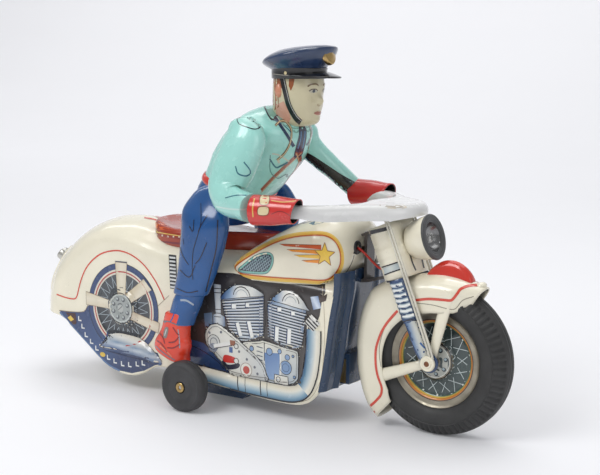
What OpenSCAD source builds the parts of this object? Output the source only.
/* [Machine] */
// Overall length, front tyre to the tip of the tail lamp bracket
overall_length = 300; // [299:0.5:301]
// Half width of the body across its flat sides
body_half_w = 26; // [25.5:0.25:26.5]
// Thickness of the pressed tin sheet
tin = 0.7; // [0.5:0.1:0.8]
// Radius of the front tyre
front_tyre_r = 38.3; // [38:0.1:38.5]
// Half width of the front tyre
front_tyre_half_w = 8.8; // [8:0.2:9]
// Radius of the two driven side wheels
side_wheel_r = 13.66; // [13.5:0.02:13.8]
// Outer face of each side wheel, from the centre plane
side_wheel_out = 45.5; // [45:0.25:46]

/* [Steering] */
// Rake of the steering axis from upright
rake = 22; // [21:0.5:23]
// Distance from the steering axis forward to the front axle
fork_offset = 3.5; // [3:0.25:4]
// Inner face of each fork leg, from the centre plane
leg_in = 11.9; // [11.9:0.1:12.1]

/* [Clockwork] */
// Gear module of the whole train
gear_module = 0.6; // [0.59:0.01:0.6]
// Teeth of the pinion on the drive axle
axle_teeth = 14; // [14]
// Teeth of the great wheel on the winding arbor
great_teeth = 48; // [48]
// Width left free at each tooth flank
flank_gap = 0.1; // [0.08:0.01:0.12]

/* [Hidden] */
$fn = 48;
eps = 0.01;
fit = 0.05;

// Wheel centres, as [x, z]
front_axle_at = [overall_length / 2 - front_tyre_r, front_tyre_r];
drive_axle_at = [-17, side_wheel_r];
rear_hub_at = [-74, 46.7];

// Steering head in the fork's own frame: origin on the front axle, +Z up the fork
ear_low = 47;
ear_high = 70;
ear_t = 1.2;
pin_r = 1.5;
shroud_back = -7;
shroud_front = 5;
shroud_half_w = 12.6;
shroud_low = 45.5;
shroud_top = 71.5;

// Gear train: teeth, and arbor places as [x, z]
third_teeth = 36;
third_pinion = 12;
second_teeth = 32;
second_pinion = 14;
governor_teeth = 12;
function polar(at, r, angle) = [at[0] + r * cos(angle), at[1] + r * sin(angle)];
function mesh_distance(n1, n2) = gear_module * (n1 + n2) / 2;
third_angle = 50;
second_angle = 55;
great_angle = 55;
governor_angle = 150;
third_at = polar(drive_axle_at, mesh_distance(axle_teeth, third_teeth), third_angle);
second_at = polar(third_at, mesh_distance(third_pinion, second_teeth), second_angle);
great_at = polar(second_at, mesh_distance(second_pinion, great_teeth), great_angle);
governor_at = polar(third_at, mesh_distance(governor_teeth, third_teeth), governor_angle);
plate_y = 10;
plate_t = 1;
arbor_r = 1.2;
axle_r = 1.4;

// Gear layers along Y, as [low, high]
third_layer = [0, 1.2];
great_layer = [3.2, 4.4];
second_layer = [5.8, 7];

// Battery box
box_x = [12.5, 64.5];
box_z = [19.5, 35.5];
box_half_w = 8.6;
cell_r = 7.1;
cell_len = 50.2;

// Headlamp, in its own frame: +Z along the beam
lamp_at = [107, 98.7];
lamp_up = 15;
lamp_r = 11.6;

// Rider
shoulder_at = [15, 29, 145];
grip_far = [36, 48];
grip_near = [58, 41.2];

// ---------- shared shapes ----------

// Places children on the fork: origin on the front axle, +Z up the steering axis
module on_fork() {
    translate([front_axle_at[0], 0, front_axle_at[1]]) rotate([0, -rake, 0]) children();
}

// Lays a flat outline drawn in X and Z over a range of Y
module side_plate(y0, y1) {
    translate([0, y1, 0]) rotate([90, 0, 0]) linear_extrude(y1 - y0) children();
}

// A round bar along Y at [x, z]
module bar_y(at, r, y0, y1) {
    translate([at[0], y0, at[1]]) rotate([-90, 0, 0]) cylinder(r = r, h = y1 - y0);
}

module ball(at, r) {
    translate(at) sphere(r = r, $fn = 24);
}

module mirror_y(side) {
    mirror([0, side > 0 ? 0 : 1, 0]) children();
}

// Involute gear outline, phased so that a tooth or a gap centre points at `aim`
function involute_angle(base, r) = r <= base ? 0 : (sqrt(r * r / (base * base) - 1) * 180 / PI - acos(base / r));
module gear_2d(teeth, aim, tooth_at_aim) {
    pitch = gear_module * teeth / 2;
    base = pitch * cos(20);
    root = pitch - 1.25 * gear_module;
    tip = pitch + 0.95 * gear_module;
    half = 90 / teeth - flank_gap / 2 / pitch * 180 / PI;
    steps = 4;
    start = max(base, root);
    radii = [for (i = [0:steps]) start + (tip - start) * i / steps];
    phase = aim + (tooth_at_aim ? 0 : 180 / teeth);
    points = [for (t = [0:teeth - 1]) let (mid = phase + 360 * t / teeth)
        each concat(
            [let (a = mid - half - involute_angle(base, pitch)) [root * cos(a), root * sin(a)]],
            [for (r = radii) let (a = mid - half - involute_angle(base, pitch) + involute_angle(base, r))
                [r * cos(a), r * sin(a)]],
            [for (i = [steps:-1:0]) let (r = radii[i],
                a = mid + half + involute_angle(base, pitch) - involute_angle(base, r))
                [r * cos(a), r * sin(a)]],
            [let (a = mid + half + involute_angle(base, pitch)) [root * cos(a), root * sin(a)]]
        )];
    polygon(points);
}
module gear(at, teeth, layer, aim, tooth_at_aim) {
    translate([at[0], layer[1], at[1]]) rotate([90, 0, 0])
        linear_extrude(layer[1] - layer[0]) gear_2d(teeth, aim, tooth_at_aim);
}

// A ribbon outline along a centre line of [x, y] points with a half width at each
function unit(v) = v / norm(v);
function line_normal(pts, i) = let (
    a = pts[max(i - 1, 0)],
    b = pts[min(i + 1, len(pts) - 1)],
    d = unit(b - a)) [-d[1], d[0]];
function ribbon(pts, half) = concat(
    [for (i = [0:len(pts) - 1]) pts[i] + line_normal(pts, i) * half[i]],
    [for (i = [len(pts) - 1:-1:0]) pts[i] - line_normal(pts, i) * half[i]]);

// A round tube swept along [x, y, z] points, eight-sided
module swept_tube(pts, r) {
    n = len(pts);
    sides = 8;
    function tangent(i) = unit(pts[min(i + 1, n - 1)] - pts[max(i - 1, 0)]);
    rings = [for (i = [0:n - 1]) let (
        t = tangent(i),
        side = unit(cross(t, [0, 1, 0.01])),
        up = cross(side, t))
        for (k = [0:sides - 1]) pts[i] + r * (cos(360 * k / sides) * side + sin(360 * k / sides) * up)];
    walls = [for (i = [0:n - 2], k = [0:sides - 1]) let (j = (k + 1) % sides)
        [i * sides + k, i * sides + j, (i + 1) * sides + j, (i + 1) * sides + k]];
    caps = [[for (k = [sides - 1:-1:0]) k], [for (k = [0:sides - 1]) (n - 1) * sides + k]];
    polyhedron(points = rings, faces = concat(walls, caps), convexity = 6);
}

// ---------- body halves ----------

// Rear mudguard outline, drawn towards the hub by `inset` at the top and the tail
module fender_outline(inset, side) {
    top = 96 - inset;
    tail = -143.5 + inset * 1.25;
    hub_x = rear_hub_at[0];
    low = 38;
    arch = [for (a = [90:6:180]) [
        hub_x - 4 + (hub_x - 4 - tail) * cos(a),
        low + (top - low) * pow(sin(a), 0.86)]];
    front = [[-40, low], [-40, 68 - side], [-52, 88 - inset]];
    polygon(concat(front, arch));
}

module fender_block(g) {
    hull() for (layer = [[6, 0, 0], [17, 3.5, 0], [body_half_w, 13, 4]])
        side_plate(-layer[0] + g, layer[0] - g) fender_outline(layer[1] + g, layer[2]);
}

// Printed lower half of the rear wheel, the silencer and the engine panel, as one side outline
module lower_outline() {
    wheel_arc = [for (a = [200:10:300]) [
        rear_hub_at[0] + (a < 215 ? 46 : 38) * cos(a) * 1.02,
        rear_hub_at[1] + 37.4 * sin(a)]];
    belly = [[-46, 17], [-26, 15.6], [0, 13], [22, 11], [40, 10], [50, 12], [56, 18]];
    front = [[58.5, 30], [60.5, 45], [62.5, 58], [66, 72], [66, 84], [-44, 90], [-114, 46]];
    polygon(concat(wheel_arc, belly, front));
}
module lower_block(g) {
    side_plate(-body_half_w + g, body_half_w - g) offset(delta = -g) lower_outline();
}

// Fuel tank, a fat teardrop across both halves
module tank_block(g) {
    hull() {
        for (s = [-1, 1]) {
            ball([53, 13.5 * s, 89], 15.5 - g);
            ball([30, 15 * s, 84], 13 - g);
            ball([7, 19 * s, 76], 6 - g);
        }
        ball([56, 0, 97], 10.5 - g);
        ball([10, 0, 84], 7 - g);
    }
}

module body_block(g) {
    fender_block(g);
    lower_block(g);
    tank_block(g);
}

// Openings shared by both halves; the lead's hole is placed by [y, z]
lead_hole = [-8, 91];
module body_openings() {
    // Underside, closed by the chassis tray
    translate([-44, -body_half_w + tin, -5]) cube([92, 2 * (body_half_w - tin), 25]);
    // Drive axle
    bar_y(drive_axle_at, 2.2, -60, 60);
    // Front window for the battery box
    translate([45, -box_half_w - 0.6, box_z[0] - 1]) cube([40, 2 * box_half_w + 1.2, box_z[1] - box_z[0] + 2]);
    // Lamp lead, out of the nose
    translate([60, lead_hole[0], lead_hole[1]]) rotate([0, 90, 0]) cylinder(r = 3.4, h = 20);
    // Winding arbor
    bar_y(great_at, 3, 10, 60);
}

module half_body(side) {
    difference() {
        body_block(0);
        body_block(tin);
        body_openings();
        translate([-200, side > 0 ? -100 + eps : -eps, -10]) cube([400, 100, 200]);
    }
}
module body_right() {
    color("ivory") half_body(-1);
}
module body_left() {
    color("ivory") half_body(1);
}

// ---------- chassis tray ----------
cheek_y = 16;
cheek_t = 0.8;
stand_z = 4;
module chassis() {
    color("midnightblue") difference() {
        union() {
            // Floor, just inside the side walls
            side_plate(-body_half_w + tin + 0.1, body_half_w - tin - 0.1)
                polygon([[-43, 17.6], [-26, 16.4], [0, 14], [22, 12], [43, 11.2],
                    [43, 12.2], [22, 13], [0, 15], [-26, 17.4], [-43, 18.6]]);
            // Cheeks that carry the drive axle
            for (s = [-1, 1])
                side_plate(s > 0 ? cheek_y : -cheek_y - cheek_t, s > 0 ? cheek_y + cheek_t : -cheek_y)
                    polygon([[-30, 16.9], [-25, stand_z], [3, stand_z], [14, 13]]);
            // Foot that joins the cheeks
            translate([-8, -cheek_y - eps, stand_z]) cube([11, 2 * cheek_y + 2 * eps, cheek_t]);
        }
        // Gear well, brake lever slot, the cell's way in and the switch slot
        translate([-27, -11.5, 8]) cube([35, 23, 14]);
        translate([-20.5, -15.8, 8]) cube([7, 31.6, 14]);
        translate([-41, 10.6, 8]) cube([17, 2.6, 14]);
        translate([box_x[0] - 1, -box_half_w, 8]) cube([40, 2 * box_half_w, 14]);
        translate([switch_x - 3.1, switch_y - 2.3, 8]) cube([6.2, 4.6, 14]);
        bar_y(drive_axle_at, axle_r + fit, -20, 20);
    }
}

// ---------- saddle and tail lamp ----------
module saddle_plan(g) {
    hull() {
        translate([-41, 0]) circle(r = 21.5 - g);
        translate([-18, 0]) circle(r = 17 - g);
        translate([12, 0]) circle(r = 7 - g);
    }
}
saddle_low = 83;
saddle_top = 93.5;
module saddle() {
    color("firebrick") difference() {
        union() {
            hull() {
                translate([0, 0, saddle_low]) linear_extrude(3.5) saddle_plan(0);
                translate([-3, 0, saddle_top - 1]) linear_extrude(1) saddle_plan(4);
            }
            // Raised back of the seat
            hull() {
                translate([-43, 0, saddle_top - 1]) cylinder(r = 16.5, h = 1);
                translate([-43, 0, saddle_top]) cylinder(r = 10.5, h = 4.2);
            }
        }
        intersection() {
            body_block(-0.15);
            translate([-200, -60, 0]) cube([400, 120, 100]);
        }
    }
}

tail_lamp_at = [-142.4, 66.6];
module tail_lamp_bracket() {
    color("ivory") difference() {
        side_plate(-4.5, 4.5) polygon([[-131, 71], [-138.5, 70], [-142, 66], [-144.5, 58], [-147.5, 50],
            [-overall_length / 2, 46], [-146, 44], [-140, 46], [-135, 58]]);
        body_block(-0.1);
        side_plate(-3.8, 3.8) polygon([[-131, 69], [-138, 68.6], [-141, 65], [-143, 58], [-146, 50],
            [-147, 47], [-140, 46], [-135, 58]]);
        on_tail_lamp() translate([0, 0, -5]) cylinder(r = 1.25, h = 6);
    }
}
module on_tail_lamp() {
    translate([tail_lamp_at[0], 0, tail_lamp_at[1]]) rotate([0, -66, 0]) children();
}
module tail_lamp() {
    color("silver") on_tail_lamp() union() {
        translate([0, 0, -1.5]) cylinder(r = 1.2, h = 2);
        cylinder(r = 4.2, h = 2.6);
        cylinder(r = 3.4, h = 4);
    }
}

// ---------- battery ----------
module battery_box() {
    color("navy") difference() {
        translate([box_x[0], -box_half_w, box_z[0]])
            cube([box_x[1] - box_x[0], 2 * box_half_w, box_z[1] - box_z[0]]);
        translate([box_x[0] + tin, -box_half_w + tin, box_z[0] - 1])
            cube([box_x[1] - box_x[0] - 2 * tin, 2 * (box_half_w - tin), box_z[1] - box_z[0] + 1 - tin]);
        // Contact window on the right
        translate([box_x[1] - 12, -box_half_w - 1, box_z[0] + 2]) cube([9, 2, 10]);
    }
}
module battery_cell() {
    color("darkorange") translate([box_x[0] + tin + 0.2, 0, box_z[0] + 7.9]) rotate([0, 90, 0]) union() {
        cylinder(r = cell_r, h = cell_len - 1.2);
        cylinder(r = 2.7, h = cell_len);
    }
}
contact_t = 0.5;
module contact_plate() {
    color("gainsboro") difference() {
        translate([box_x[1] - 13, -box_half_w - contact_t, box_z[0] + 0.6]) cube([11, contact_t, 12.6]);
        bar_y([box_x[1] - 6, box_z[0] + 7], 1.3, -20, 20);
    }
}
switch_x = 26;
switch_y = -15;
module lamp_switch() {
    color("gainsboro") translate([switch_x, switch_y, 0]) union() {
        translate([-4, -4, 13.4]) cube([8, 8, 0.6]);
        translate([-1.2, -2, 9]) cube([2.4, 4, 4.4 + eps]);
    }
}

// ---------- clockwork ----------
pillars = [[-26, 21], [2.8, 16.6], [-8, 49], [29, 55]];
stud_r = 1.5;
module motor_plate(side) {
    y0 = side > 0 ? plate_y - 0.5 : -plate_y - 0.5;
    difference() {
        side_plate(y0, y0 + plate_t) {
            hull() {
                translate(drive_axle_at) circle(r = 4.5);
                translate(pillars[0]) circle(r = 3);
                translate(governor_at) circle(r = 3);
                translate(pillars[2]) circle(r = 3);
                translate(pillars[1]) circle(r = 3);
            }
            hull() {
                translate(pillars[1]) circle(r = 3);
                translate(pillars[2]) circle(r = 3);
                translate(great_at) circle(r = 9);
                translate(pillars[3]) circle(r = 3);
            }
        }
        bar_y(drive_axle_at, axle_r + fit, -20, 20);
        for (at = [third_at, second_at, great_at, governor_at]) bar_y(at, arbor_r + fit, -20, 20);
        for (at = pillars) bar_y(at, 1, -20, 20);
    }
}
module motor_plate_right() {
    color("darkkhaki") motor_plate(-1);
}
module motor_plate_left() {
    color("darkkhaki") motor_plate(1);
}
module motor_pillars() {
    color("silver") for (i = [0:len(pillars) - 1]) {
        bar_y(pillars[i], stud_r, -plate_y + 0.5, plate_y - 0.5);
        bar_y(pillars[i], 1, -plate_y - 0.9, plate_y + 0.9);
        if (i == 0) bar_y(pillars[i], stud_r, plate_y + 0.5, plate_y + 2.4);
    }
}

module drive_axle() {
    color("silver") union() {
        bar_y(drive_axle_at, axle_r, -side_wheel_out + 0.2, side_wheel_out - 0.2);
        gear(drive_axle_at, axle_teeth, third_layer, third_angle, true);
        for (s = [-1, 1]) bar_y(drive_axle_at, 2.4, s > 0 ? 13 : -15.6, s > 0 ? 15.6 : -13);
    }
}
module drive_wheel(side) {
    mirror_y(side) translate([drive_axle_at[0], 0, drive_axle_at[1]]) rotate([-90, 0, 0])
        rotate_extrude() polygon([[axle_r, 33], [9.3, 33], [9.5, 33.3], [9.5, 37.5], [side_wheel_r - 0.6, 37.5],
            [side_wheel_r, 38.1], [side_wheel_r, side_wheel_out - 0.7], [side_wheel_r - 0.7, side_wheel_out],
            [2.7, side_wheel_out], [2.7, side_wheel_out - 1], [axle_r, side_wheel_out - 1]]);
}
module drive_wheel_right() {
    color("dimgray") drive_wheel(-1);
}
module drive_wheel_left() {
    color("dimgray") drive_wheel(1);
}
module wheel_eyelets() {
    color("goldenrod") for (s = [-1, 1]) mirror_y(s) difference() {
        bar_y(drive_axle_at, 2.65, side_wheel_out - 0.98, side_wheel_out);
        bar_y(drive_axle_at, axle_r, 30, 50);
    }
}

module arbor(at, y0, y1) {
    bar_y(at, arbor_r, y0, y1);
}
module third_wheel() {
    color("goldenrod") union() {
        arbor(third_at, -plate_y - 0.9, plate_y + 0.9);
        gear(third_at, third_teeth, third_layer, third_angle + 180, false);
        gear(third_at, third_pinion, [second_layer[0] - 0.4, second_layer[1] + 0.4], second_angle, true);
    }
}
module second_wheel() {
    color("goldenrod") union() {
        arbor(second_at, -plate_y - 0.9, plate_y + 0.9);
        gear(second_at, second_teeth, second_layer, second_angle + 180, false);
        gear(second_at, second_pinion, [great_layer[0] - 0.4, second_layer[0] + eps], great_angle, true);
    }
}
module great_wheel() {
    color("goldenrod") union() {
        arbor(great_at, -plate_y - 0.9, 34);
        gear(great_at, great_teeth, great_layer, great_angle + 180, false);
        // Winding drum and ratchet disc
        bar_y(great_at, 2.4, -7, great_layer[0] + eps);
        bar_y(great_at, 5, great_layer[1] - eps, great_layer[1] + 1);
    }
}
tooth_offset = third_angle + 180 + 180 / third_teeth - governor_angle;
module governor() {
    color("goldenrod") union() {
        arbor(governor_at, -plate_y - 0.9, plate_y + 0.9);
        gear(governor_at, governor_teeth, [third_layer[0] - 0.4, third_layer[1] + 0.4],
            governor_angle + 180 - tooth_offset * third_teeth / governor_teeth, false);
        bar_y(governor_at, 6, 4, 8);
    }
}
module mainspring() {
    turns = 6;
    step = 15;
    r_in = 3.4;
    r_out = 11.6;
    strip = 0.5;
    last = 190;
    function coil(a, edge) = (r_in + edge + (r_out - r_in) * a / (360 * turns)) *
        [cos(last - 360 * turns + a), sin(last - 360 * turns + a)];
    out = [cos(last), sin(last)];
    along = [-sin(last), cos(last)];
    // The outer end turns outwards to hook on the long pillar
    tail = [r_out * out + strip * along, (r_out + 6) * out + strip * along, (r_out + 6) * out];
    color("slategray") side_plate(-7, 2) translate(great_at) polygon(concat(
        [for (a = [0:step:360 * turns]) coil(a, 0)],
        tail,
        [for (a = [360 * turns:-step:0]) coil(a, strip)]));
}
module winding_key() {
    color("silver") translate([great_at[0], 0, great_at[1]]) rotate([-90, 0, 0]) difference() {
        union() {
            translate([0, 0, 28]) cylinder(r = 2.2, h = 10);
            for (s = [-1, 1]) translate([0, 0, 38]) {
                translate([6.4 * s, 0.8, 0]) rotate([90, 0, 0]) cylinder(r = 5.6, h = 1.6);
                translate([-3, -0.8, -3]) cube([6, 1.6, 6]);
            }
        }
        translate([0, 0, 20]) cylinder(r = arbor_r, h = 14);
        for (s = [-1, 1]) translate([7.4 * s, 5, 38]) rotate([90, 0, 0]) cylinder(r = 2.2, h = 10);
    }
}
module brake_lever() {
    color("silver") difference() {
        union() {
            side_plate(11.2, 12.2) {
                hull() {
                    translate([-29.5, 33.5]) circle(r = 1.3);
                    translate(pillars[0]) circle(r = 3);
                }
                hull() {
                    translate(pillars[0]) circle(r = 3);
                    translate([-36, 9.5]) circle(r = 2.2);
                }
            }
            bar_y([-29.5, 33.5], 1, 4.5, 12.2);
        }
        bar_y(pillars[0], stud_r + fit, 5, 20);
    }
}

// ---------- steering ----------
module steering_bracket() {
    color("dimgray") difference() {
        union() {
            on_fork() {
                translate([-fork_offset - 15, -4, ear_high]) cube([15, 8, ear_t]);
                translate([-fork_offset, 0, ear_high]) cylinder(r = 4, h = ear_t);
                translate([-fork_offset - 8, -4, ear_low]) cube([8, 8, ear_t]);
                translate([-fork_offset, 0, ear_low]) cylinder(r = 4, h = ear_t);
            }
            // Arm from the lower ear back to the body front, and the plate on the nose
            side_plate(-3.9, 3.9) polygon([[66.1, 72.2], [72, 73], [86, 77], [85.6, 78.6], [71.5, 74.2],
                [71.5, 98], [70, 98.6], [69.8, 74.6], [66.1, 73.6]]);
        }
        on_fork() translate([-fork_offset, 0, 40]) cylinder(r = pin_r, h = 40);
    }
}
module steering_pin() {
    color("silver") on_fork() translate([-fork_offset, 0, 0]) {
        translate([0, 0, ear_low - 0.6]) cylinder(r = pin_r, h = ear_high + ear_t - ear_low + 1.2);
        translate([0, 0, ear_high + ear_t]) cylinder(r = 2.4, h = 0.8);
    }
}
module fork_yoke() {
    color("dimgray") on_fork() difference() {
        union() {
            translate([-fork_offset, 0, ear_low + ear_t + 0.25])
                cylinder(r = 3.2, h = ear_high - ear_low - ear_t - 0.5);
            for (z = [52, 67]) translate([0, 0, z]) linear_extrude(1) intersection() {
                shroud_plan(tin + 0.02);
                translate([-1, -20]) square([20, 40]);
            }
        }
        translate([-fork_offset, 0, 40]) cylinder(r = pin_r + fit, h = 40);
    }
}
module shroud_plan(g) {
    corner = 3;
    translate([shroud_back - 1, -shroud_half_w + g])
        square([shroud_front - shroud_back + 1 - corner, 2 * (shroud_half_w - g)]);
    translate([shroud_front - corner - 1, -shroud_half_w + corner])
        square([corner + 1 - g, 2 * (shroud_half_w - corner)]);
    for (s = [-1, 1]) translate([shroud_front - corner, s * (shroud_half_w - corner)]) circle(r = corner - g);
}
module fork_shroud() {
    color("ivory") difference() {
        on_fork() difference() {
            translate([0, 0, shroud_low]) linear_extrude(shroud_top - shroud_low) difference() {
                shroud_plan(0);
                shroud_plan(tin);
                translate([shroud_back - 3, -20]) square([3, 40]);
            }
            // Room for the mudguard's crown below
            translate([-4, -fender_half_w - 0.2, 40]) cube([20, 2 * fender_half_w + 0.4, 7]);
        }
        // Level top, under the handlebar
        translate([0, -50, 107]) cube([200, 100, 60]);
        on_lamp() translate([0, 0, -25]) cylinder(r = 3.4, h = 20);
    }
}
module fork_leg(side) {
    mirror_y(side) on_fork() difference() {
        union() {
            translate([-5.5, leg_in, 22]) cube([8, 0.8, shroud_low - 0.1 - 22]);
            translate([-4.5, leg_in, 0]) cube([6, 0.8, 24]);
            translate([0, leg_in, 0]) rotate([-90, 0, 0]) cylinder(r = 5, h = 0.8);
            intersection() {
                union() {
                    translate([-1.5, leg_in, 22]) cylinder(r = 3.9, h = shroud_low - 0.1 - 22);
                    translate([-1.5, leg_in, 5.5]) cylinder(r = 3, h = 17);
                }
                translate([-10, leg_in, 0]) cube([20, 10, 60]);
            }
        }
        translate([0, leg_in - 1, 0]) rotate([-90, 0, 0]) cylinder(r = pin_r, h = 8);
    }
}
module fork_leg_right() {
    color("steelblue") fork_leg(-1);
}
module fork_leg_left() {
    color("steelblue") fork_leg(1);
}
module fork_strips() {
    color("gainsboro") for (s = [-1, 1]) mirror_y(s) on_fork() difference() {
        union() {
            translate([2.6, 13.4, 3]) cube([2.2, 0.8, 76.4]);
            translate([1.5, 12.75, 0]) cube([2.5, 0.6, 6]);
            translate([2.6, 12.75, 3]) cube([1.4, 1, 3]);
            translate([0, 12.75, 0]) rotate([-90, 0, 0]) cylinder(r = 3.4, h = 0.6);
        }
        translate([0, 10, 0]) rotate([-90, 0, 0]) cylinder(r = pin_r, h = 8);
    }
}

fender_r = 45.7;
fender_half_w = 11.6;
module fender_profile(g) {
    polygon(concat(
        [[31 - (g > 0 ? 1 : 0), -fender_half_w + g]],
        [for (a = [-90:10:90]) [fender_r - 8 + (8 - g) * cos(a), (fender_half_w - g) * sin(a)]],
        [[31 - (g > 0 ? 1 : 0), fender_half_w - g]]));
}
module front_fender() {
    color("ivory") translate([front_axle_at[0], 0, front_axle_at[1]]) rotate([90, 0, 0])
        rotate([0, 0, 57]) rotate_extrude(angle = 161, $fn = 96) difference() {
            fender_profile(0);
            fender_profile(tin);
        }
}
stay_angles = [76, 201];
stay_y = fender_half_w - tin - 0.8;
module fender_stays() {
    color("ivory") translate([front_axle_at[0], 0, front_axle_at[1]])
        for (s = [-1, 1]) mirror_y(s) difference() {
            union() {
                bar_y([0, 0], 4, stay_y, stay_y + 0.7);
                for (a = stay_angles) rotate([0, -a, 0]) translate([2.2, stay_y, -3]) cube([33.3, 0.7, 6]);
            }
            bar_y([0, 0], pin_r, 0, 20);
        }
}
module fender_crest() {
    color("red") difference() {
        side_plate(-0.4, 0.4) translate([116, 77]) intersection() {
            scale([1.25, 1.1]) circle(r = 10);
            translate([-20, 0]) square([40, 30]);
        }
        translate([front_axle_at[0], 0, front_axle_at[1]]) rotate([90, 0, 0])
            cylinder(r = fender_r, h = 40, center = true, $fn = 96);
    }
}

// Handlebar: centre line of one arm as [x, y], with its half width at each point
bar_top = 114.8;
bar_deep = 6.2;
bar_line = [[84, 4], [80, 16], [71, 30], grip_near, [44.5, 45.4]];
bar_half = [9, 8, 6, 4.7, 4.5];
module bar_plan(g) {
    polygon([for (a = [0:10:350]) [85 + (16 - g) * cos(a), (19.4 - g) * sin(a)]]);
    for (s = [-1, 1]) mirror_y(s) polygon(ribbon(bar_line, [for (w = bar_half) w - g]));
}
module handlebar() {
    color("white") difference() {
        translate([0, 0, bar_top - bar_deep]) linear_extrude(bar_deep) bar_plan(0);
        translate([0, 0, bar_top - bar_deep - 1]) linear_extrude(bar_deep + 1 - tin) bar_plan(tin);
        // Slot in the middle
        translate([0, 0, bar_top - 3]) linear_extrude(6) hull() for (x = [78, 88]) translate([x, 0]) circle(r = 2.4);
    }
}

module on_lamp() {
    translate([lamp_at[0], 0, lamp_at[1]]) rotate([0, 90 - lamp_up, 0]) children();
}
module headlamp_bowl() {
    color("ivory") difference() {
        on_lamp() rotate_extrude() polygon([[3.2, -12.2], [8.2, -12.2], [9.8, -8.6], [10.8, -4.4], [11.3, -0.8],
            [10.6, -0.8], [10.1, -4.4], [9.1, -8.4], [7.8, -11.5], [3.2, -11.5]]);
        on_fork() translate([shroud_front - 10, -20, 40]) cube([10.02, 40, 40]);
    }
}
module headlamp_bezel() {
    color("dimgray") on_lamp() rotate_extrude() polygon([[6.2, -0.7], [lamp_r, -0.7], [lamp_r, 0.3],
        [10.4, 0.9], [6.6, 0], [6.2, -0.2]]);
}
module lamp_reflector() {
    color("silver") on_lamp() rotate_extrude() polygon([[3.1, -5.6], [6.1, -0.75], [6.1, -0.2], [5.6, -0.75],
        [2.7, -5.3], [2.7, -6]]);
}
module bulb() {
    color("lightyellow") on_lamp() union() {
        translate([0, 0, -3]) sphere(r = 2.5, $fn = 32);
        translate([0, 0, -8]) cylinder(r = 1.9, h = 4);
    }
}
module bulb_socket() {
    color("silver") on_lamp() difference() {
        translate([0, 0, -15.5]) cylinder(r = 3.15, h = 9.3);
        translate([0, 0, -9]) cylinder(r = 1.9, h = 5);
    }
}

// Leads: one from the cell to the nose, one from the nose to the lamp socket
lead_r = 0.7;
battery_route = [[56, -3, 36.4], [57, -3, 40], [57, -3, 46], [57, -3, 52], [57.5, -3.2, 58], [58, -3.6, 64],
    [58, -4.2, 70], [58, -5, 76], [58.5, -6, 81], [60, -7, 85.6], [62, -7.8, 89], [63.6, -8, 90.6], [65.4, -8, 91]];
lamp_route = [[66.6, -8, 91], [69, -8, 90.6], [72, -8, 89], [75, -8, 86.6], [78, -8, 83.8], [81, -8, 81.6],
    [84, -7.8, 81], [86.6, -7.4, 82.4], [88.4, -7, 85.2], [89.8, -6.4, 88.2], [90.8, -5.6, 91], [92, -4.1, 94]];
module battery_lead() {
    color("red") swept_tube(battery_route, lead_r);
}
module lamp_lead() {
    color("red") swept_tube(lamp_route, lead_r);
}

// ---------- front wheel ----------
module about_front_axle() {
    translate([front_axle_at[0], 0, front_axle_at[1]]) rotate([90, 0, 0]) children();
}
module front_tyre() {
    mid = front_tyre_r - 7.3;
    color("dimgray") about_front_axle() rotate_extrude($fn = 96)
        polygon([for (a = [0:12:348]) [mid + 7.3 * cos(a), front_tyre_half_w * sin(a)]]);
}
module front_disc(side) {
    mirror_y(side) about_front_axle() mirror([0, 0, 1]) rotate_extrude($fn = 96) polygon([
        [pin_r + fit, 0.05], [4, 0.05], [4, 4.2], [9, 3.8], [18.2, 3], [20, 4.8], [24.4, 5.2],
        [24.4, 5.8], [19.6, 5.5], [17.8, 3.7], [9.4, 4.5], [8.6, 6.6], [3, 7.2], [pin_r + fit, 7.2]]);
}
module front_disc_right() {
    color("silver") front_disc(-1);
}
module front_disc_left() {
    color("silver") front_disc(1);
}
module front_axle() {
    color("silver") bar_y(front_axle_at, pin_r, -14.6, 14.6);
}
module axle_nuts() {
    color("wheat") for (s = [-1, 1]) mirror_y(s) difference() {
        bar_y(front_axle_at, 3.6, 13.4, 14.4);
        bar_y(front_axle_at, pin_r, 10, 20);
    }
}

// ---------- rider ----------
module blob(at, size) {
    translate(at) scale(size) sphere(r = 1, $fn = 20);
}
module rider_torso() {
    color("turquoise") difference() {
        hull() {
            for (s = [-1, 1]) {
                blob([-19, 10 * s, 106], [13, 13, 12.4]);
                blob([2, 10 * s, 134], [17, 12, 13]);
                blob([12, 14 * s, 146], [11, 7.6, 9]);
            }
            blob([19, 0, 153], [8, 8, 5]);
        }
        for (s = [-1, 1]) mirror_y(s) bar_y([shoulder_at[0], shoulder_at[2]], 1, 12, 30);
        // Flat seat
        translate([-60, -40, saddle_top - 19.95]) cube([100, 80, 20]);
    }
}
module head_shape() {
    hull() {
        blob([27, 0, 170], [15, 12, 9]);
        blob([30, 0, 158], [9, 8, 7]);
        blob([22, 0, 164], [10, 10, 9]);
    }
    hull() {
        blob([21, 0, 162], [8, 8, 4]);
        blob([18.5, 0, 154], [7.6, 7.6, 3]);
    }
}
module rider_head() {
    color("wheat") difference() {
        head_shape();
        rider_torso();
    }
}
module rider_cap() {
    color("midnightblue") difference() {
        cap_shape();
        head_shape();
    }
}
module cap_shape() {
    union() {
        translate([27.5, 0, 174.5]) rotate([0, -4, 0]) linear_extrude(7) circle(r = 14.4);
        translate([28, 0, 181]) rotate([0, -7, 0]) rotate_extrude() polygon([[0, -1], [14.4, -1], [19.6, 6],
            [19.6, 7.6], [16, 8.6], [0, 9.4]]);
        hull() {
            translate([36, 0, 174.6]) rotate([0, 6, 0]) cylinder(r = 13.4, h = 1);
            translate([38, 0, 176.4]) cylinder(r = 10, h = 1);
        }
    }
}
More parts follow.
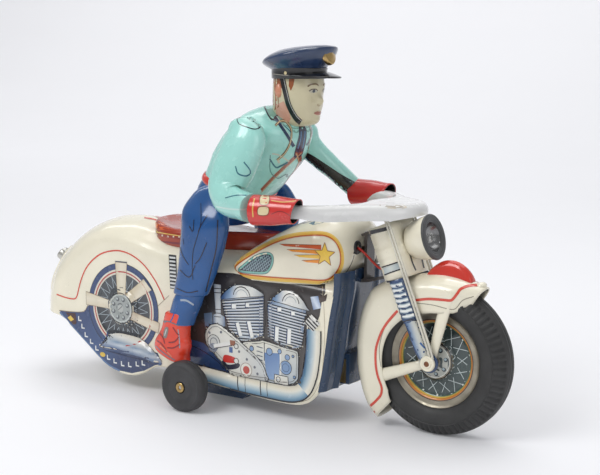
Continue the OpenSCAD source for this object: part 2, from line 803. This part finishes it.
module leg(side) {
    mirror_y(side) {
        hull() {
            blob([-8, 33.8, 96.5], [17, 7, 13]);
            blob([-16, 33.4, 63], [8.6, 6.6, 5]);
        }
        hull() {
            blob([-16, 33.4, 63], [8.4, 6.6, 5]);
            blob([-27, 33.4, 47], [7.6, 6.2, 4]);
        }
        // Hip, over the saddle's edge to the torso
        hull() {
            blob([-14, 30, 106], [12, 6, 7]);
            blob([-17, 22, 107], [11, 4, 6]);
        }
    }
}
module rider_right_leg() {
    color("mediumblue") leg_clear(-1);
}
module rider_left_leg() {
    color("mediumblue") leg_clear(1);
}
module leg_clear(side) {
    difference() {
        leg(side);
        rider_torso();
    }
}
module boot(side) {
    mirror_y(side) difference() {
        hull() {
            blob([-28, 33.4, 41], [8, 6.6, 4.4]);
            blob([-39, 33.4, 31], [5.6, 6, 5]);
            blob([-22, 31.6, 28.4], [5.4, 4.6, 4.4]);
        }
        leg(1);
    }
}
module rider_right_boot() {
    color("red") boot(-1);
}
module rider_left_boot() {
    color("red") boot(1);
}

// Arms: the right elbow is bent back and the left arm reaches forward; each glove is a tube round the grip
right_elbow = [4, 37.5, 121];
left_elbow = [22.5, 38.5, 131];
glove_z = bar_top - bar_deep / 2;
grip_dir_angle = atan2(grip_near[1] - grip_far[1], grip_near[0] - grip_far[0]);
glove_len = 23;
ball_r = 3.5;
module arm(side) {
    elbow = side > 0 ? left_elbow : right_elbow;
    upper = side > 0 ? [7, 5.6, 7.5] : [11.5, 6.5, 10.5];
    mirror_y(side) difference() {
        union() {
            hull() {
                blob(shoulder_at + [-1, 1.5, -3], [10, 6.4, 9]);
                blob(elbow, upper);
            }
            hull() {
                blob(elbow, upper - [0.5, 0, 0.5]);
                blob([31.5, 49.1, glove_z + 1], [5, 6.4, 6.4]);
            }
            translate([grip_far[0] - 2.5, grip_far[1] + 0.8, glove_z]) rotate([0, 90, grip_dir_angle])
                cylinder(r = 7.5, h = glove_len);
        }
        translate([grip_far[0] - 1, grip_far[1] + 0.35, glove_z]) rotate([0, 90, grip_dir_angle])
            cylinder(r = 6.8, h = glove_len + 10);
        // Socket of the shoulder ball, open to the torso
        translate(shoulder_at) sphere(r = ball_r + fit);
        bar_y([shoulder_at[0], shoulder_at[2]], 2.6, 10, shoulder_at[1]);
    }
}
module rider_right_arm() {
    color("turquoise") arm(-1);
}
module rider_left_arm() {
    color("turquoise") arm(1);
}
module shoulder_pins() {
    color("silver") for (s = [-1, 1]) mirror_y(s) union() {
        bar_y([shoulder_at[0], shoulder_at[2]], 1, 12, shoulder_at[1]);
        translate(shoulder_at) sphere(r = ball_r);
    }
}

body_right();
body_left();
chassis();
saddle();
tail_lamp_bracket();
tail_lamp();
battery_box();
battery_cell();
contact_plate();
lamp_switch();
motor_plate_right();
motor_plate_left();
motor_pillars();
drive_axle();
drive_wheel_right();
drive_wheel_left();
wheel_eyelets();
third_wheel();
second_wheel();
great_wheel();
mainspring();
winding_key();
governor();
brake_lever();
steering_bracket();
steering_pin();
fork_yoke();
fork_shroud();
fork_leg_right();
fork_leg_left();
fork_strips();
front_fender();
fender_stays();
fender_crest();
handlebar();
headlamp_bowl();
headlamp_bezel();
lamp_reflector();
bulb();
bulb_socket();
lamp_lead();
battery_lead();
front_tyre();
front_disc_right();
front_disc_left();
front_axle();
axle_nuts();
rider_torso();
rider_head();
rider_cap();
rider_right_leg();
rider_left_leg();
rider_right_boot();
rider_left_boot();
rider_right_arm();
rider_left_arm();
shoulder_pins();
